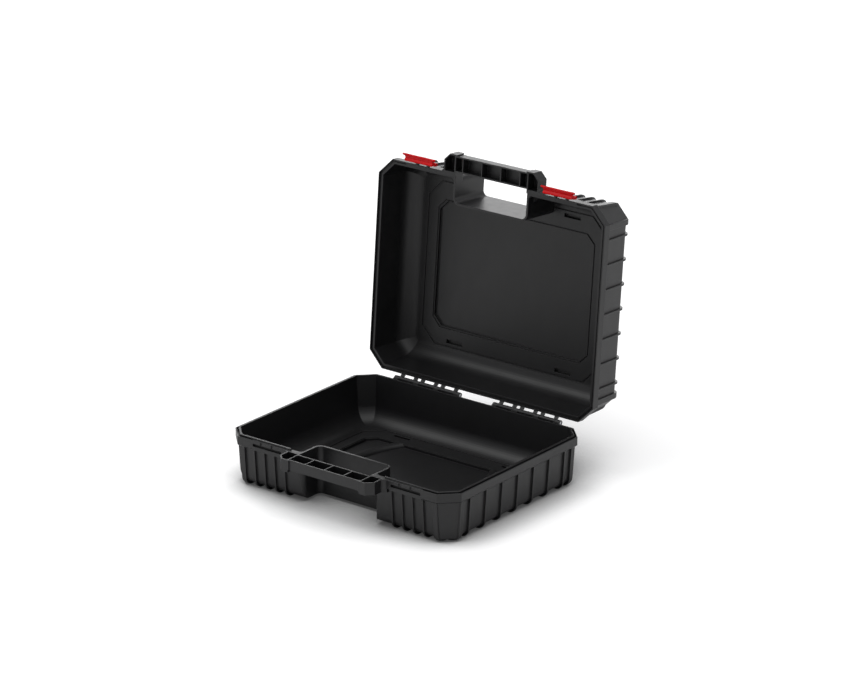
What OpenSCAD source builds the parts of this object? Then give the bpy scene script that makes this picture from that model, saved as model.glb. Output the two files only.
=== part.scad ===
/* [Case] */
// Width over the rims, along the hinge line
case_w = 350; // [330:5:500]
// Depth over the rims, front to back
case_d = 274; // [240:2:400]
// Height of the base up to its rim
base_h = 65; // [50:1:120]
// Height of the lid above its rim
lid_h = 65; // [50:1:120]
// Leg of the 45 degree cut across each corner, at the rims
corner_cut = 21; // [14:1:30]
// Angle of the open lid, from closed, on its stop
lid_open = 95; // [90:1:105]
// Angle of the released latches, from closed
latch_open = 45; // [30:1:110]

/* [Shells] */
// Thickness of the walls
wall = 2.6; // [2:0.1:4]
// Thickness of the floor panels
floor_t = 2.6; // [2:0.1:5]
// Draft of the walls, in degrees
draft = 4; // [1:0.5:6]
// Radius round the bottom edge, outside
edge_r = 9; // [6:1:18]
// Radius round the bottom edge, inside
inner_r = 22; // [8:1:26]
// Step from the ring of the bottom up to the pad, feet and ribs
foot_h = 3.5; // [1:0.5:4]
// Height of the lower edge of the cut corners above the ground
corner_lift = 4; // [2:0.5:8]

/* [Rim band] */
// Height of the band round each rim
band_h = 12.5; // [11:0.5:18]
// How far the band stands out from the wall
band_out = 4.5; // [3:0.5:7]
// Thickness of the skirt of the band
skirt_t = 2.5; // [2:0.1:3.5]
// Thickness of the flange that carries the skirt
flange_t = 4.8; // [4.4:0.1:6]
// Thickness of the lip outside the channel of a rim
lip_t = 1.1; // [0.8:0.1:1.6]
// Depth of the channel of a rim
channel_d = 3.2; // [2:0.1:3.4]
// Chamfer along the edges of the rims
rim_chamfer = 0.4; // [0.2:0.1:0.6]
// Height of the tongue on the base rim
tongue_h = 1.5; // [1:0.1:2.5]
// Width of the flat rim outside the tongue
tongue_in = 3.6; // [3.4:0.1:4.2]
// Gap between the closed rims
rim_gap = 0.2; // [0.1:0.05:0.5]

/* [Ribs and corners] */
// Width of a wall rib
rib_w = 2.4; // [1.5:0.1:4]
// How far a rib stands out from the wall
rib_out = 2.2; // [1:0.1:3]
// Spacing of the ribs on the sides
side_pitch = 31.5; // [20:0.5:50]
// Spacing of the ribs at the front and back
front_pitch = 15.75; // [10:0.25:30]
// Space from the hand opening to the first front rib
front_rib_gap = 28; // [26:1:40]
// Width of the broad ribs on each side of a corner
corner_rib_w = 7; // [4:0.5:10]
// How far a rib reaches in under the bottom
rib_reach = 38; // [24:1:45]
// How far a corner rib reaches in under the bottom
corner_rib_reach = 22; // [16:1:22]

/* [Bottom panels] */
// Distance of the octagonal pad from the rims
pad_in = 52.5; // [48:0.5:70]
// Leg of the cut corners of the pad
pad_cut = 12; // [6:1:24]
// Length of a foot
foot_l = 28; // [16:1:40]
// Width of a foot
foot_w = 8; // [7:0.5:16]
// Distance of the feet from the front and rear rims
foot_in = 37; // [33:1:45]
// Space from the hand opening to the middle of a foot
foot_gap = 30; // [20:1:45]
// Distance of the fine groove round the floor from the side rims
groove_side_in = 37; // [32:1:45]
// Distance of the fine groove from the front and rear rims
groove_end_in = 29.5; // [26:0.5:30]
// Width of the fine grooves
groove_w = 1.5; // [0.8:0.1:2]
// Depth of the fine grooves
groove_depth = 1.3; // [0.3:0.1:1.4]
// Height of the curved ridges on the base floor
ridge_h = 6; // [2:0.5:8]
// Width of the curved ridges
ridge_w = 13; // [8:0.5:20]
// Bending radius of the curved ridges
ridge_r = 174; // [120:2:260]
// Distance of the ridges from the pad edge
ridge_in = 28.5; // [16:0.5:50]

/* [Handle] */
// Width of the hand opening
hand_w = 110; // [90:1:124]
// Depth of the recess behind the front rim
recess_d = 37.5; // [30:0.5:50]
// Gap from the front rim to the grip
grip_gap = 2; // [1:0.5:6]
// Depth of the grip, front to back
grip_d = 20.5; // [16:0.5:28]
// Height of each half of the grip
grip_h = 13; // [10:0.5:20]
// Height of each half of an arm
arm_h = 16; // [13:0.5:24]
// Width of an arm
arm_w = 18; // [12:0.5:20]
// How far the arms stand in front of the grip
arm_out = 1.5; // [0:0.5:4]
// Leg of the cut corner of an arm
arm_cut = 8.5; // [4:0.5:12]
// Thickness of the handle walls
handle_t = 1.7; // [1.4:0.1:3]
// Thickness of the webs inside the handle
web_t = 1.4; // [1.2:0.1:3]
// Spacing of the webs inside the grip
web_pitch = 29.3; // [20:0.5:40]

/* [Lid hinge] */
// Distance of the hinge axis behind the rear rim
hinge_out = 6.3; // [5.5:0.1:9]
// Depth of the hinge axis below the base rim
hinge_drop = 1.1; // [0.5:0.1:3]
// Outer radius of the hinge eyes
hinge_eye_r = 3.3; // [3:0.1:5]
// Diameter of the hinge pins
hinge_pin_d = 4; // [3:0.1:5]
// Width of a base eye
base_eye_w = 8; // [6:0.5:12]
// Width of the opening that a lid eye fills
lid_eye_w = 24; // [16:0.5:32]
// Width of the web at each end of a lid eye
eye_web_w = 3; // [2:0.5:6]
// Half of the free space between the two hinges
hinge_mid = 26; // [16:1:40]
// Free space from a hinge to the corner cut
hinge_end = 24; // [10:1:40]

/* [Latches] */
// Width of a latch
latch_w = 43; // [36:1:50]
// Distance from the hand opening to the middle of a latch
latch_gap = 52; // [50:0.5:60]
// Height of the latch axis above the lid rim
latch_up = 1.5; // [1:0.1:3]
// Distance of the latch axis in front of the rims
latch_out = 5; // [4:0.1:6]
// Radius of the latch barrel
barrel_r = 2.2; // [2:0.1:3]
// Diameter of the latch pins
latch_pin_d = 2.2; // [1.5:0.1:2.6]
// Width of a latch lug
lug_w = 3; // [2:0.5:5]
// Distance of the latch lugs from the middle of the latch
lug_x = 8.5; // [6:0.5:12]
// Thickness of the latch plate
plate_t = 2.6; // [2:0.1:3.4]
// Gap between the plate of a closed latch and the rims
plate_gap = 1.2; // [0.8:0.1:2]
// Length of a latch from its axis to its free edge
plate_l = 12; // [11:0.5:16]
// How far the finger lip of a latch stands out at each end
lip_over = 4; // [1:0.5:4]
// Height of the catch bar in the base rim
catch_h = 4; // [3.5:0.1:4.8]
// How far the hook of a latch reaches in behind the rim face
hook_in = 2.4; // [1.6:0.1:2.8]
// Thickness of the hook of a latch
hook_t = 1.8; // [1.4:0.1:2.4]

/* [Fits] */
// Running clearance round a pin
pin_fit = 0.08; // [0.03:0.01:0.1]
// Clearance at the sides of an eye or lug
side_fit = 0.3; // [0.2:0.05:0.6]
// Clearance between the closed latch and its catch
catch_fit = 0.4; // [0.25:0.05:0.8]

/* [Hidden] */
$fn = 48;
black = "#1b1c1e";
red = "#c8141c";
steel = "#a9adb2";
far = 600;
eps = 0.01;

rim_y = case_d / 2;
lid_z = base_h + rim_gap;
case_h = lid_z + lid_h;
arc_steps = 7;
edge_steps = 12;

hand_x = hand_w / 2;
arm_x = hand_x + arm_w;
recess_y = -rim_y + recess_d;
grip_in_y = -rim_y - grip_gap;
grip_y = grip_in_y - grip_d;
arm_y = grip_y - arm_out;
arm_fillet = 6;
opening_r = 7;
mouth_r = 7;
grip_webs = [-web_pitch, 0, web_pitch];
lid_grip_webs = [-1.5 * web_pitch, -web_pitch / 2, web_pitch / 2, 1.5 * web_pitch];

hinge_y = rim_y + hinge_out;
hinge_z = base_h - hinge_drop;
hinge_pitch = base_eye_w + lid_eye_w;
eye_count = floor((case_w / 2 - corner_cut - hinge_end - hinge_mid - base_eye_w) / hinge_pitch);
hinge_l = eye_count * hinge_pitch + base_eye_w;
hinge_mid_x = hinge_mid + hinge_l / 2;

latch_x = hand_x + latch_gap;
latch_y = -rim_y - latch_out;
latch_z = lid_z + latch_up;
seat_w = latch_w + 2;
catch_z = base_h - catch_h;
notch_w = lug_w + 1;
seat_wall = 2;
seat_depth = band_out + 1;
hook_z = catch_z - catch_fit - latch_z;
latch_back = latch_out - plate_gap;
latch_front = latch_back - plate_t;
hook_swing = 1.4;

pad_w = case_w - 2 * pad_in;
pad_d = case_d - 2 * pad_in;
pad_step = 3;
groove_land = 1;
foot_x = hand_x + foot_gap;
foot_y = rim_y - foot_in;
foot_wall = 1.6;

corner_rib_in = corner_cut + band_out * (sqrt(2) - 1);
side_ribs = floor((rim_y - corner_rib_in - corner_rib_w - rib_w) / side_pitch);
front_ribs = floor((case_w / 2 - corner_rib_in - corner_rib_w - rib_w - hand_x - front_rib_gap) / front_pitch);

// Inset of the drafted wall at height z, in a half of height h
function wall_inset(h, start, z) = start + (h - band_h - z) * tan(draft);

// Rows [inset, z] of a drafted wall with a rounded bottom edge
function wall_rows(h, start, bottom, r, top) =
    let (cz = bottom + r, ci = wall_inset(h, start, cz) + r / cos(draft))
    concat(
        [for (i = [0:edge_steps])
            let (q = -90 + (90 - draft) * i / edge_steps)
            [ci - r * cos(q), cz + r * sin(q)]],
        [[wall_inset(h, start, top), top]]);

function arc_points(x, y, r, from, to) =
    [for (i = [0:arc_steps])
        let (q = from + (to - from) * i / arc_steps)
        [x + r * cos(q), y + r * sin(q)]];

// Corners at height z of the octagon that lies an inset in from the rims
function ring(inset, z) =
    let (x = case_w / 2 - inset, y = case_d / 2 - inset, cut = max(1, corner_cut - inset * (2 - sqrt(2))))
    [[x - cut, -y, z], [x, cut - y, z], [x, y - cut, z], [x - cut, y, z],
        [cut - x, y, z], [-x, y - cut, z], [-x, cut - y, z], [cut - x, -y, z]];

// Solid bounded on its eight sides by the same rows of inset and height, from the bottom up
module around(rows) {
    last = len(rows) - 1;
    polyhedron(
        [for (row = rows) each ring(row[0], row[1])],
        concat(
            [[for (k = [0:7]) k]],
            [for (i = [0:last - 1], k = [0:7])
                [8 * i + k, 8 * i + 8 + k, 8 * i + 8 + (k + 1) % 8, 8 * i + (k + 1) % 8]],
            [[for (k = [7:-1:0]) 8 * last + k]]));
}

module octagon(w, d, cut) {
    polygon([
        [w / 2 - cut, -d / 2], [w / 2, cut - d / 2], [w / 2, d / 2 - cut], [w / 2 - cut, d / 2],
        [cut - w / 2, d / 2], [-w / 2, d / 2 - cut], [-w / 2, cut - d / 2], [cut - w / 2, -d / 2]]);
}

module block(x0, x1, y0, y1, z0, z1) {
    translate([x0, y0, z0]) cube([x1 - x0, y1 - y0, z1 - z0]);
}

// Extrudes an outline drawn in Y and Z along X, centred on x
module along_x(x, w) {
    translate([x - w / 2, 0, 0]) rotate([90, 0, 90]) linear_extrude(w) children();
}

module both_sides() {
    children();
    mirror([1, 0, 0]) children();
}

// Places a half drawn on its outer face as the closed lid
module as_lid() {
    translate([0, 0, case_h]) mirror([0, 0, 1]) children();
}

// Turns what is drawn at the closed lid to the open lid
module opened() {
    translate([0, hinge_y, hinge_z])
        rotate([-lid_open, 0, 0])
            translate([0, -hinge_y, -hinge_z]) children();
}

// Channel in a rim behind its outer lip, left out along the latches and the handle
module rim_channel(h, seat) {
    difference() {
        around([[lip_t, h - channel_d], [lip_t, h + 1]]);
        around([[tongue_in, h - channel_d - 1], [tongue_in, h + 2]]);
        block(-latch_x - seat / 2, latch_x + seat / 2, -far, 0, 0, far);
    }
}

// Band round the rim: a flange with a skirt that hangs clear of the wall
module rim_band(h) {
    difference() {
        around([[skirt_t * 0.7, h - band_h], [0, h - band_h + skirt_t * 0.7],
            [0, h - rim_chamfer], [rim_chamfer, h]]);
        around([[skirt_t, h - band_h - 1], [skirt_t, h - flange_t]]);
    }
}

module rib_slabs(h) {
    inner_x = case_w / 2 - rib_reach;
    inner_y = rim_y - rib_reach;
    both_sides() {
        for (i = [-side_ribs:side_ribs])
            block(inner_x, far, i * side_pitch - rib_w / 2, i * side_pitch + rib_w / 2, -1, h);
        for (i = [0:front_ribs])
            let (x = hand_x + front_rib_gap + i * front_pitch)
            for (side = [0, 1])
                mirror([0, side, 0]) block(x - rib_w / 2, x + rib_w / 2, inner_y, far, -1, h);
    }
}

// Broad ribs on both sides of each cut corner
module corner_rib_slabs(h) {
    x = case_w / 2 - corner_rib_in;
    y = rim_y - corner_rib_in;
    both_sides()
        for (side = [0, 1])
            mirror([0, side, 0]) {
                block(x - corner_rib_w, x, rim_y - corner_rib_reach, far, -1, h);
                block(case_w / 2 - corner_rib_reach, far, y - corner_rib_w, y, -1, h);
            }
}

// Ribs run down the walls and hook in under the bottom
module ribs(h) {
    intersection() {
        around(wall_rows(h, band_out - rib_out, 0, edge_r + rib_out, h - band_h + 1));
        union() {
            rib_slabs(h);
            corner_rib_slabs(h);
        }
    }
}

// The cut corners run straight down between their ribs
module corner_faces(h) {
    x = case_w / 2 - corner_rib_in - 1;
    y = rim_y - corner_rib_in - 1;
    top = h - band_h + 1;
    intersection() {
        around([[wall_inset(h, band_out, corner_lift), corner_lift], [wall_inset(h, band_out, top), top]]);
        both_sides() for (side = [0, 1]) mirror([0, side, 0]) block(x, far, y, far, 0, h);
    }
}

module at_feet() {
    for (x = [-foot_x, foot_x])
        for (y = [-foot_y, foot_y])
            translate([x, y, 0]) children();
}

module foot_outline(inset) {
    square([foot_l - 2 * inset, foot_w - 2 * inset], center = true);
}

// Plan of the hand opening, between the grip and the back of the recess
module opening_plan() {
    polygon(concat(
        [[hand_x, grip_in_y]],
        arc_points(hand_x - opening_r, recess_y - opening_r, opening_r, 0, 90),
        arc_points(opening_r - hand_x, recess_y - opening_r, opening_r, 90, 180),
        [[-hand_x, grip_in_y]]));
}

// Plan of the recess below the grip, with rounded edges at its mouth
module recess_plan(h) {
    mouth_y = -rim_y + wall_inset(h, band_out, h / 2) + mouth_r;
    opening_plan();
    both_sides()
        polygon(concat(
            [[0, mouth_y], [0, -far], [hand_x + mouth_r, -far]],
            arc_points(hand_x + mouth_r, mouth_y, mouth_r, -90, -180)));
}

// What the cavity leaves standing round the recess, with a slope of the given leg at its mouth
module tunnel_plan(slope) {
    x = hand_x + wall;
    y = recess_y + wall;
    r = opening_r + wall;
    inner_y = -rim_y + band_out + wall;
    polygon(concat(
        [[x + slope, -far], [x + slope, inner_y], [x, inner_y + slope]],
        arc_points(x - r, y - r, r, 0, 90),
        arc_points(r - x, y - r, r, 90, 180),
        [[-x, inner_y + slope], [-x - slope, inner_y], [-x - slope, -far]]));
}

module cavity(h) {
    difference() {
        around(wall_rows(h, band_out + wall, foot_h + floor_t, inner_r, h + tongue_h + 1));
        translate([0, 0, -1]) linear_extrude(h - arm_h + wall + 1) tunnel_plan(mouth_r + 2);
        translate([0, 0, -1]) linear_extrude(far) tunnel_plan(wall);
    }
}

// Grooves in the floor inside: one round the recess of the pad, one round the flat floor
module floor_grooves() {
    w = case_w - 2 * groove_side_in;
    d = case_d - 2 * groove_end_in;
    floor_z = foot_h + floor_t;
    pad_rim_w = pad_w - 2 * pad_step + 2 * groove_land;
    pad_rim_d = pad_d - 2 * pad_step + 2 * groove_land;
    translate([0, 0, floor_z - groove_depth]) {
        linear_extrude(2 * groove_depth)
            difference() {
                octagon(w, d, corner_cut);
                octagon(w - 2 * groove_w, d - 2 * groove_w, corner_cut);
                tunnel_plan(mouth_r + 2);
            }
        linear_extrude(2 * groove_depth)
            difference() {
                octagon(pad_rim_w + 2 * groove_w, pad_rim_d + 2 * groove_w, pad_cut);
                octagon(pad_rim_w, pad_rim_d, pad_cut);
                tunnel_plan(mouth_r + 2);
            }
    }
}

module arm_plan() {
    polygon(concat(
        [[hand_x - handle_t, -rim_y + band_out + wall / 2], [arm_x + arm_fillet, -rim_y + band_out + wall / 2]],
        arc_points(arm_x + arm_fillet, -rim_y - arm_fillet, arm_fillet, 90, 180),
        [[arm_x, arm_y + arm_cut], [arm_x - arm_cut, arm_y], [hand_x - handle_t, arm_y]]));
}

// Hollow inside an arm, open at the rim
module arm_cell_plan() {
    polygon([
        [hand_x + handle_t, -rim_y - web_t], [arm_x - handle_t, -rim_y - web_t],
        [arm_x - handle_t, arm_y + arm_cut + handle_t * 0.4],
        [arm_x - arm_cut - handle_t * 0.4, arm_y + handle_t], [hand_x + handle_t, arm_y + handle_t]]);
}

// Half of the carrying handle: two arms and the grip between them
module half_handle(h) {
    both_sides() translate([0, 0, h - arm_h]) linear_extrude(arm_h) arm_plan();
    block(-hand_x, hand_x, grip_y, grip_in_y, h - grip_h, h);
}

module handle_cells(h, webs) {
    both_sides() translate([0, 0, h - arm_h + handle_t]) linear_extrude(arm_h) arm_cell_plan();
    difference() {
        block(-hand_x, hand_x, grip_y + handle_t, grip_in_y - handle_t, h - grip_h + handle_t, h + 1);
        for (x = webs) block(x - web_t / 2, x + web_t / 2, grip_y, grip_in_y, 0, h + 2);
    }
}

// One half of the case, standing on its outer face: h is the height of its rim, seat the width of a latch seat
module half_shell(h, webs, seat) {
    difference() {
        union() {
            around(wall_rows(h, band_out, foot_h, edge_r, h));
            rim_band(h);
            ribs(h);
            corner_faces(h);
            linear_extrude(foot_h + 1) octagon(pad_w, pad_d, pad_cut);
            at_feet() linear_extrude(foot_h + 1) foot_outline(0);
            half_handle(h);
            both_sides() latch_seat(seat, h - band_h, h - rim_chamfer);
            children();
        }
        cavity(h);
        rim_channel(h, seat);
        translate([0, 0, -1]) linear_extrude(h + 2) opening_plan();
        translate([0, 0, -1]) linear_extrude(h - arm_h + 1) recess_plan(h);
        block(-hand_x, hand_x, -far, -rim_y, -1, h - grip_h);
        handle_cells(h, webs);
        floor_grooves();
        translate([0, 0, floor_t])
            linear_extrude(far)
                octagon(pad_w - 2 * pad_step, pad_d - 2 * pad_step, pad_cut);
        at_feet() translate([0, 0, foot_wall]) linear_extrude(foot_h + floor_t) foot_outline(foot_wall);
    }
}

// Tongue inside the rim of the base, broken at the hand opening
module tongue() {
    difference() {
        around([[tongue_in, base_h - eps], [tongue_in, base_h + tongue_h - rim_chamfer],
            [tongue_in + rim_chamfer, base_h + tongue_h]]);
        block(-arm_x, arm_x, -far, recess_y + 2 * wall, 0, far);
    }
}

module rebate(h) {
    around([[tongue_in - side_fit, h - tongue_h - side_fit], [tongue_in - side_fit, h + 1]]);
}

// Solid part of the rim band where a latch closes
module latch_seat(w, z0, z1) {
    block(latch_x - w / 2, latch_x + w / 2, -rim_y, -rim_y + seat_depth, z0, z1);
}

// Room for the hook of the latch under the catch bar, and for the two lugs of the lid in front of the bar
module catch_cuts() {
    block(latch_x - seat_w / 2, latch_x + seat_w / 2, -far, -rim_y + hook_in + 0.8,
        catch_z - catch_fit - hook_t - hook_swing, catch_z);
    for (x = [latch_x - lug_x, latch_x + lug_x])
        block(x - notch_w / 2, x + notch_w / 2, -far, -rim_y + 1.2, catch_z - 1, far);
}

module base_eyes() {
    w = base_eye_w - side_fit;
    for (i = [0:eye_count])
        let (x = hinge_mid + base_eye_w / 2 + i * hinge_pitch) {
            hinge_eye(x, w);
            along_x(x, w)
                polygon([[rim_y - 1, hinge_z - 8], [rim_y, hinge_z - 8], [hinge_y + 2, hinge_z - 2],
                    [hinge_y, hinge_z + 2.5], [rim_y - 1, hinge_z]]);
        }
}

module hinge_eye(x, w) {
    translate([x, hinge_y, hinge_z]) rotate([0, 90, 0]) cylinder(r = hinge_eye_r, h = w, center = true);
}

module hinge_bore(d) {
    translate([hinge_mid - 1, hinge_y, hinge_z]) rotate([0, 90, 0]) cylinder(d = d, h = hinge_l + 2);
}

// Two crowned ridges curve across the base floor
module floor_ridges() {
    crown_r = (ridge_w * ridge_w / 4 + ridge_h * ridge_h) / (2 * ridge_h);
    half_y = pad_d / 2 - pad_step;
    both_sides()
        intersection() {
            translate([pad_w / 2 - ridge_in - ridge_r, 0, floor_t])
                rotate_extrude($fn = 180)
                    intersection() {
                        translate([ridge_r, ridge_h - crown_r]) circle(crown_r);
                        translate([ridge_r - ridge_w, -1]) square([2 * ridge_w, ridge_h + 2]);
                    }
            block(0, pad_w / 2, -half_y, half_y, 0, far);
        }
}

module base_shell() {
    color(black)
        difference() {
            union() {
                half_shell(base_h, grip_webs, seat_w + 2 * seat_wall) tongue();
                both_sides() base_eyes();
                floor_ridges();
            }
            both_sides() catch_cuts();
            both_sides() hinge_bore(hinge_pin_d);
        }
}

// Side view of the web that joins a lid eye to the closed lid
module lid_web_outline() {
    polygon([[rim_y - 1, lid_z], [rim_y + 0.2, lid_z], [hinge_y - 1.5, hinge_z - 2], [hinge_y + 2, hinge_z + 1],
        [rim_y + 1.5, lid_z + 6], [rim_y - 1, lid_z + 6]]);
}

module lid_eyes() {
    w = lid_eye_w - side_fit;
    for (i = [0:eye_count - 1])
        let (x = hinge_mid + base_eye_w + lid_eye_w / 2 + i * hinge_pitch) {
            hinge_eye(x, w);
            for (s = [-1, 1]) along_x(x + s * (w - eye_web_w) / 2, eye_web_w) lid_web_outline();
        }
}

// Heel under the middle eye that meets the base rim when the lid is open
module stop_heel() {
    x = hinge_mid + base_eye_w + lid_eye_w / 2 + floor(eye_count / 2) * hinge_pitch;
    translate([0, hinge_y, hinge_z])
        rotate([lid_open, 0, 0])
            block(x - 4, x + 4, 0.1 - hinge_out, 0, -3.2, -0.6);
}

module latch_lugs() {
    for (x = [latch_x - lug_x, latch_x + lug_x]) {
        translate([x, latch_y, latch_z])
            rotate([0, 90, 0]) cylinder(r = barrel_r, h = lug_w, center = true);
        block(x - lug_w / 2, x + lug_w / 2, latch_y, -rim_y + 0.6,
            latch_z - barrel_r + 0.3, latch_z + barrel_r - 0.3);
    }
}

module latch_bore(d) {
    translate([latch_x - latch_w / 2 - 1, latch_y, latch_z]) rotate([0, 90, 0]) cylinder(d = d, h = latch_w + 2);
}

module closed_lid() {
    difference() {
        union() {
            difference() {
                as_lid() half_shell(lid_h, lid_grip_webs, seat_w + 2 * seat_wall);
                as_lid() rebate(lid_h);
            }
            both_sides() latch_lugs();
            both_sides() lid_eyes();
            both_sides() stop_heel();
        }
        both_sides() hinge_bore(hinge_pin_d + 2 * pin_fit);
        both_sides() latch_bore(latch_pin_d);
    }
}

module lid_shell() {
    color(black) opened() closed_lid();
}

module hinge_pin() {
    color(steel)
        translate([hinge_mid + 0.5, hinge_y, hinge_z])
            rotate([0, 90, 0]) cylinder(d = hinge_pin_d, h = hinge_l - 1);
}

// Side view of the plate and hook of the closed latch, from its axis: outward is -Y
module latch_plate_outline() {
    tip = latch_out + hook_in;
    polygon([
        [0, 1], [1.6, 1], [latch_back, -1.4], [latch_back, hook_z], [tip, hook_z], [tip, hook_z - hook_t / 2],
        [tip - 1, hook_z - hook_t], [latch_back, hook_z - hook_t - 0.4], [latch_back - 1, -plate_l + 1],
        [latch_front, -plate_l + 1], [latch_front, -2.5], [-1.6, -1]]);
}

// Finger lip at the free edge of the closed latch, drawn in X and Z, with a pointed end on each side
module latch_lip_plan() {
    x = latch_w / 2;
    polygon([
        [-x, 4 - plate_l], [-x - lip_over, 0.8 - plate_l], [-x - lip_over, -plate_l],
        [x + lip_over, -plate_l], [x + lip_over, 0.8 - plate_l], [x, 4 - plate_l]]);
}

// Room for the two lid lugs, in the barrel and the plate
module lug_slots() {
    w = lug_w + 2 * side_fit;
    for (x = [-lug_x, lug_x]) {
        translate([x, 0, 0]) rotate([0, 90, 0]) cylinder(r = barrel_r + 0.6, h = w, center = true);
        along_x(x, w) translate([0, -barrel_r - 0.4]) square([8, 8]);
    }
}

module closed_latch() {
    difference() {
        union() {
            rotate([0, 90, 0]) cylinder(r = barrel_r, h = latch_w, center = true);
            along_x(0, latch_w) latch_plate_outline();
            translate([0, latch_front + 0.8, 0]) rotate([90, 0, 0]) linear_extrude(2) latch_lip_plan();
        }
        lug_slots();
        translate([-latch_w, 0, 0]) rotate([0, 90, 0]) cylinder(d = latch_pin_d + 2 * pin_fit, h = 2 * latch_w);
    }
}

module latch() {
    color(red)
        opened() translate([latch_x, latch_y, latch_z]) rotate([-latch_open, 0, 0]) closed_latch();
}

module latch_pin() {
    color(steel)
        opened()
            translate([latch_x - latch_w / 2 + 1, latch_y, latch_z])
                rotate([0, 90, 0]) cylinder(d = latch_pin_d, h = latch_w - 2);
}

module hinge_pin_left() { mirror([1, 0, 0]) hinge_pin(); }
module hinge_pin_right() { hinge_pin(); }
module latch_left() { mirror([1, 0, 0]) latch(); }
module latch_right() { latch(); }
module latch_pin_left() { mirror([1, 0, 0]) latch_pin(); }
module latch_pin_right() { latch_pin(); }

base_shell();
lid_shell();
hinge_pin_left();
hinge_pin_right();
latch_left();
latch_right();
latch_pin_left();
latch_pin_right();
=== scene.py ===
import bpy
from mathutils import Matrix, Vector

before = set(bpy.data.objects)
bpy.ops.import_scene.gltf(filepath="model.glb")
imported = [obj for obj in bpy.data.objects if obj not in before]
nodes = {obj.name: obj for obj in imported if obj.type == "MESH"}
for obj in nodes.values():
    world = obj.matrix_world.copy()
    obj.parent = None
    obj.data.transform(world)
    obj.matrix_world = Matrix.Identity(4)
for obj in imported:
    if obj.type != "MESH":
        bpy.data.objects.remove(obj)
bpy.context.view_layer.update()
bpy.ops.object.select_all(action="DESELECT")

# Base shell
# The lower half of the case: black polypropylene, injection moulded in one piece with its ribs,
# rim band, half of the handle and the hinge eyes at the back.


def moulded_plastic(name, colour, rubbed, roughness, gloss, edge=0.0007):
    """Moulded plastic with a fine spark-eroded grain, faint flow marks, rubbed patches and soft edges."""
    patch_size = 0.05
    flow_mark_size = 0.012
    along_flow = (1, 1, 0.4)
    smoother, rougher = roughness - 0.015, roughness + 0.03
    grain_size = 0.0009
    grain_depth = 0.00001
    grain_strength = 0.6
    material = bpy.data.materials.new(name)
    material.use_nodes = True
    tree = material.node_tree
    nodes_of = tree.nodes
    link = tree.links.new
    shader = nodes_of["Principled BSDF"]
    place = nodes_of.new("ShaderNodeTexCoord")

    def noise(size, detail, stretch=(1, 1, 1)):
        mapping = nodes_of.new("ShaderNodeMapping")
        mapping.inputs["Scale"].default_value = stretch
        link(place.outputs["Object"], mapping.inputs["Vector"])
        texture = nodes_of.new("ShaderNodeTexNoise")
        texture.inputs["Scale"].default_value = 1 / size
        texture.inputs["Detail"].default_value = detail
        link(mapping.outputs["Vector"], texture.inputs["Vector"])
        return texture.outputs["Fac"]

    def spread(value, low, high, start, end):
        ramp = nodes_of.new("ShaderNodeMapRange")
        ramp.inputs["From Min"].default_value = low
        ramp.inputs["From Max"].default_value = high
        ramp.inputs["To Min"].default_value = start
        ramp.inputs["To Max"].default_value = end
        link(value, ramp.inputs["Value"])
        return ramp.outputs["Result"]

    patches = spread(noise(patch_size, 4), low=0.35, high=0.7, start=0.0, end=1.0)
    mix = nodes_of.new("ShaderNodeMix")
    mix.data_type = "RGBA"
    mix.inputs[6].default_value = (*colour, 1)
    mix.inputs[7].default_value = (*rubbed, 1)
    link(patches, mix.inputs[0])
    link(mix.outputs[2], shader.inputs["Base Color"])
    flow_marks = noise(flow_mark_size, 6, along_flow)
    rough = spread(flow_marks, low=0.3, high=0.75, start=smoother, end=rougher)
    link(rough, shader.inputs["Roughness"])
    shader.inputs["Specular IOR Level"].default_value = gloss
    soft_edge = nodes_of.new("ShaderNodeBevel")
    soft_edge.samples = 6
    soft_edge.inputs["Radius"].default_value = edge
    bump = nodes_of.new("ShaderNodeBump")
    bump.inputs["Strength"].default_value = grain_strength
    bump.inputs["Distance"].default_value = grain_depth
    link(noise(grain_size, 2), bump.inputs["Height"])
    link(soft_edge.outputs["Normal"], bump.inputs["Normal"])
    link(bump.outputs["Normal"], shader.inputs["Normal"])
    return material


def made_of(node, material):
    nodes[node].data.materials.clear()
    nodes[node].data.materials.append(material)


black_as_moulded = (0.0040, 0.0040, 0.0045)
black_rubbed = (0.0055, 0.0055, 0.0060)
black = moulded_plastic("black_polypropylene", black_as_moulded, black_rubbed, roughness=0.42, gloss=0.45)
made_of("base_shell", black)

# Lid shell
# The upper half, of the same plastic, hung on the base by two rows of hinge eyes.

made_of("lid_shell", black)

# Hinge pins and latch pins
# Drawn steel wire, cut to length and pushed through the hinge eyes and the latch lugs.


def drawn_steel():
    draw_marks = (12, 900, 900)
    polished, scored = 0.25, 0.5
    material = bpy.data.materials.new("drawn_steel")
    material.use_nodes = True
    tree = material.node_tree
    shader = tree.nodes["Principled BSDF"]
    shader.inputs["Metallic"].default_value = 1.0
    shader.inputs["Base Color"].default_value = (0.45, 0.46, 0.48, 1)
    place = tree.nodes.new("ShaderNodeTexCoord")
    mapping = tree.nodes.new("ShaderNodeMapping")
    mapping.inputs["Scale"].default_value = draw_marks
    lines = tree.nodes.new("ShaderNodeTexNoise")
    lines.inputs["Scale"].default_value = 1.0
    lines.inputs["Detail"].default_value = 4
    ramp = tree.nodes.new("ShaderNodeMapRange")
    ramp.inputs["To Min"].default_value = polished
    ramp.inputs["To Max"].default_value = scored
    tree.links.new(place.outputs["Object"], mapping.inputs["Vector"])
    tree.links.new(mapping.outputs["Vector"], lines.inputs["Vector"])
    tree.links.new(lines.outputs["Fac"], ramp.inputs["Value"])
    tree.links.new(ramp.outputs["Result"], shader.inputs["Roughness"])
    return material


steel = drawn_steel()
for pin in ("hinge_pin_left", "hinge_pin_right", "latch_pin_left", "latch_pin_right"):
    made_of(pin, steel)

# Flip latches
# Red polypropylene, injection moulded, each on its own pin between two lugs of the lid.

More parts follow.
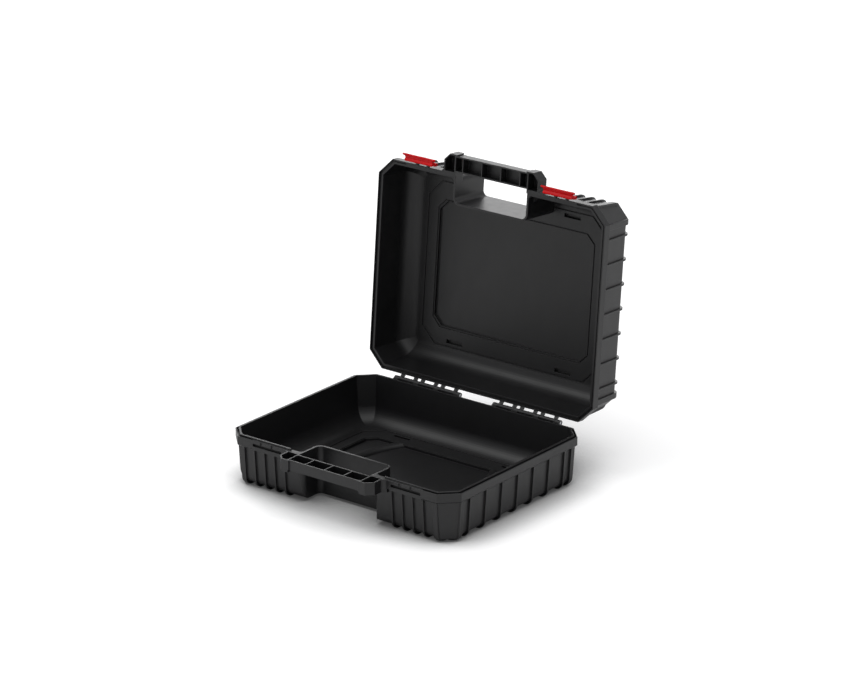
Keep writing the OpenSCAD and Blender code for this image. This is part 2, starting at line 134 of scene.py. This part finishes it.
red_as_moulded = (0.50, 0.002, 0.004)
red_rubbed = (0.42, 0.003, 0.005)
red = moulded_plastic("red_polypropylene", red_as_moulded, red_rubbed, roughness=0.32, gloss=0.12)
for latch in ("latch_left", "latch_right"):
    made_of(latch, red)

# Studio
# White paper under a bright ceiling. A large light box behind grazes the upper faces, and a small one
# hangs above. The paper's colour is painted darker where the case closes it in: a painted shadow that
# deepens the shadow of the lights.

floor_reach = 16.0
floor_drop = 0.0001
shadow_reach = 0.16
closed_in, open_above = 0.32, 0.78
paper_in_shadow, paper_white = 0.20, 0.88
paper_glow = 0.2
bpy.ops.mesh.primitive_plane_add(size=floor_reach, location=(0, 0, -floor_drop))
floor = bpy.context.object
floor.name = "floor"
bpy.ops.object.transform_apply(location=True, rotation=True, scale=True)
paper = bpy.data.materials.new("white_paper")
paper.use_nodes = True
tree = paper.node_tree
shader = tree.nodes["Principled BSDF"]
shader.inputs["Roughness"].default_value = 0.9
shader.inputs["Specular IOR Level"].default_value = 0.0
shader.inputs["Emission Color"].default_value = (1, 1, 1, 1)
# Painted shadow: ambient occlusion darkens the paper's base colour near and under the case.
painted_shadow_occlusion = tree.nodes.new("ShaderNodeAmbientOcclusion")
painted_shadow_occlusion.samples = 12
painted_shadow_occlusion.inputs["Distance"].default_value = shadow_reach
shade = tree.nodes.new("ShaderNodeMapRange")
shade.inputs["From Min"].default_value = closed_in
shade.inputs["From Max"].default_value = open_above
shade.inputs["To Min"].default_value = paper_in_shadow
shade.inputs["To Max"].default_value = paper_white
tree.links.new(painted_shadow_occlusion.outputs["AO"], shade.inputs["Value"])
tree.links.new(shade.outputs["Result"], shader.inputs["Base Color"])
# Camera rays see the paper glow a little, scaled by the same painted shadow, so the open paper reads
# white and the painted shadow stays dark.
seen = tree.nodes.new("ShaderNodeLightPath")
lift = tree.nodes.new("ShaderNodeMath")
lift.operation = "MULTIPLY"
tree.links.new(seen.outputs["Is Camera Ray"], lift.inputs[0])
tree.links.new(shade.outputs["Result"], lift.inputs[1])
faint = tree.nodes.new("ShaderNodeMath")
faint.operation = "MULTIPLY"
faint.inputs[1].default_value = paper_glow
tree.links.new(lift.outputs["Value"], faint.inputs[0])
tree.links.new(faint.outputs["Value"], shader.inputs["Emission Strength"])
floor.data.materials.append(paper)

world = bpy.data.worlds.new("studio")
bpy.context.scene.world = world
world.use_nodes = True
tree = world.node_tree
direction = tree.nodes.new("ShaderNodeTexCoord")
split = tree.nodes.new("ShaderNodeSeparateXYZ")
ceiling = tree.nodes.new("ShaderNodeValToRGB")
below = (0.6, 0.6, 0.6, 1)
walls = (0.22, 0.22, 0.23, 1)
overhead = (1, 1, 1, 1)
world_light, world_seen = 1.5, 1.0
stops = ceiling.color_ramp.elements
stops[0].position = 0.16
stops[0].color = below
stops[1].position = 0.85
stops[1].color = overhead
stops.new(0.28).color = walls
stops.new(0.50).color = walls
seen = tree.nodes.new("ShaderNodeLightPath")
shown = tree.nodes.new("ShaderNodeMix")
shown.data_type = "RGBA"
shown.inputs[7].default_value = (1, 1, 1, 1)
strength = tree.nodes.new("ShaderNodeMapRange")
strength.inputs["To Min"].default_value = world_light
strength.inputs["To Max"].default_value = world_seen
background = tree.nodes["Background"]
tree.links.new(direction.outputs["Generated"], split.inputs["Vector"])
tree.links.new(split.outputs["Z"], ceiling.inputs["Fac"])
tree.links.new(ceiling.outputs["Color"], shown.inputs[6])
tree.links.new(seen.outputs["Is Camera Ray"], shown.inputs[0])
tree.links.new(seen.outputs["Is Camera Ray"], strength.inputs["Value"])
tree.links.new(shown.outputs[2], background.inputs["Color"])
tree.links.new(strength.outputs["Result"], background.inputs["Strength"])


def soft_box(name, place, aim, size, power):
    bpy.ops.object.light_add(type="AREA", location=place)
    lamp = bpy.context.object
    lamp.name = name
    lamp.data.shape = "RECTANGLE"
    lamp.data.size, lamp.data.size_y = size
    lamp.data.energy = power
    lamp.rotation_euler = (Vector(aim) - Vector(place)).to_track_quat("-Z", "Y").to_euler()


soft_box("back_box", (-1.9, 2.6, 0.72), aim=(0, 0.15, 0.30), size=(5.0, 1.3), power=50)
soft_box("top_box", (-0.5, -0.5, 1.7), aim=(0, 0, 0.1), size=(0.9, 0.9), power=6)

camera_place = (2.9129, -3.6879, 1.9019)
bpy.ops.object.camera_add(location=camera_place)
camera = bpy.context.object
back = Vector((0.57705, -0.74006, 0.34546)).normalized()
right = Vector((0.7886, 0.6149, 0)).normalized()
up = back.cross(right)
camera.rotation_euler = Matrix((right, up, back)).transposed().to_euler()
camera.data.lens = 172.6
camera.data.sensor_width = 36
camera.data.clip_end = 50
bpy.context.scene.camera = camera
bpy.context.scene.view_settings.view_transform = "Standard"
